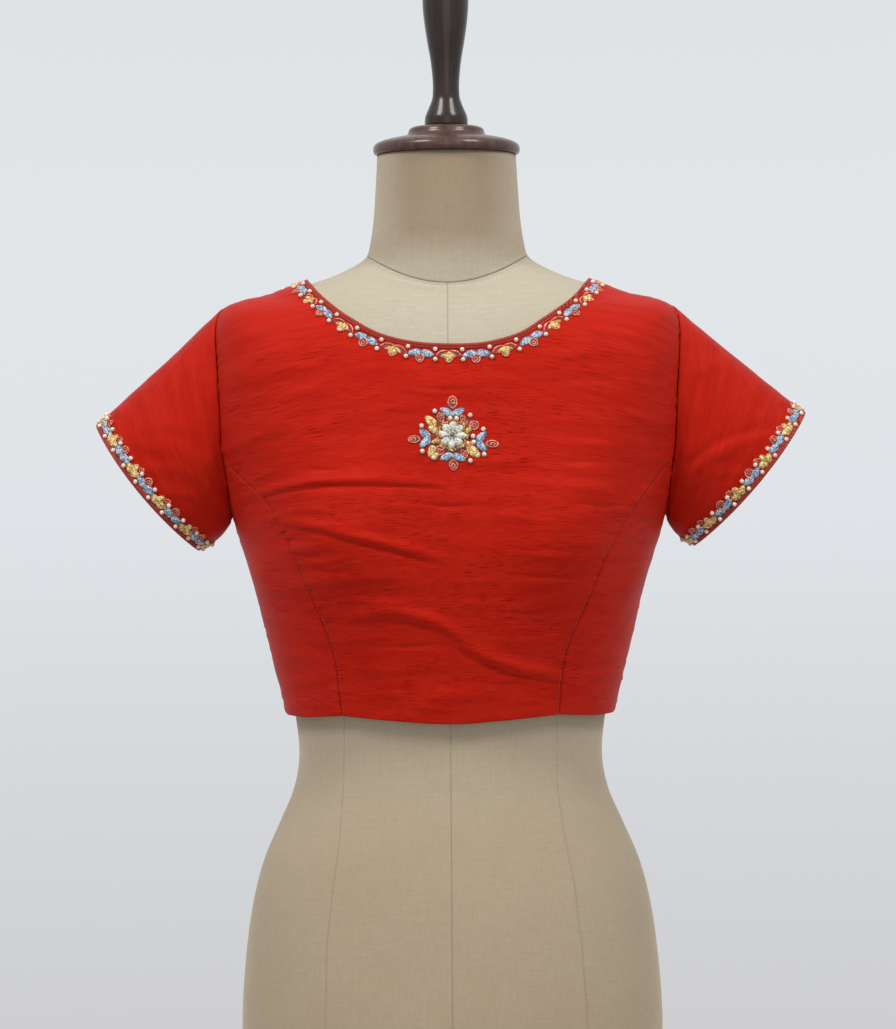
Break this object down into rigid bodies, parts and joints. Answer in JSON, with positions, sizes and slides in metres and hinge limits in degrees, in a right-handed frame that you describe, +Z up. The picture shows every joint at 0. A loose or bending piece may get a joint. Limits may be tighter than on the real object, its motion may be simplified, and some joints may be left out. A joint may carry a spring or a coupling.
{
  "type": "choli blouse and dress form",
  "caption": "Short round-necked choli blouse with set-in sleeves and embroidered borders, worn by a limbless linen dress form with a neck cap and a turned finial.",
  "frame": {"origin": "on the floor, under the form's axis, on its flat underside", "axes": "+Z up; -Y is the front of the blouse; +X is the right side as seen from the front"},
  "size_m": [0.5676, 0.2504, 0.9389],
  "materials": {
    "silk": "red dupion silk with fine slubs and a soft sheen",
    "cord": "red silk over a thin cord",
    "embroidery": "gold, blue and coral thread work with pearl beads",
    "stone": "clear cut acrylic stones",
    "linen": "plain natural linen stretched over the form",
    "lacquered_wood": "dark brown gloss lacquer"
  },
  "bodies": {
    "root": {"front_center": "silk", "front_side_left": "silk", "front_side_right": "silk", "back_left": "silk", "back_right": "silk", "sleeve_left": "silk", "sleeve_right": "silk", "neck_piping": "cord", "cuff_piping_left": "cord", "cuff_piping_right": "cord", "neck_border_front": "embroidery", "neck_border_back_left": "embroidery", "neck_border_back_right": "embroidery", "cuff_border_left": "embroidery", "cuff_border_right": "embroidery", "center_motif": "embroidery", "center_stone": "stone", "form_torso": "linen", "form_neck_cap": "lacquered_wood", "form_finial": "lacquered_wood"}
  },
  "joints": []
}
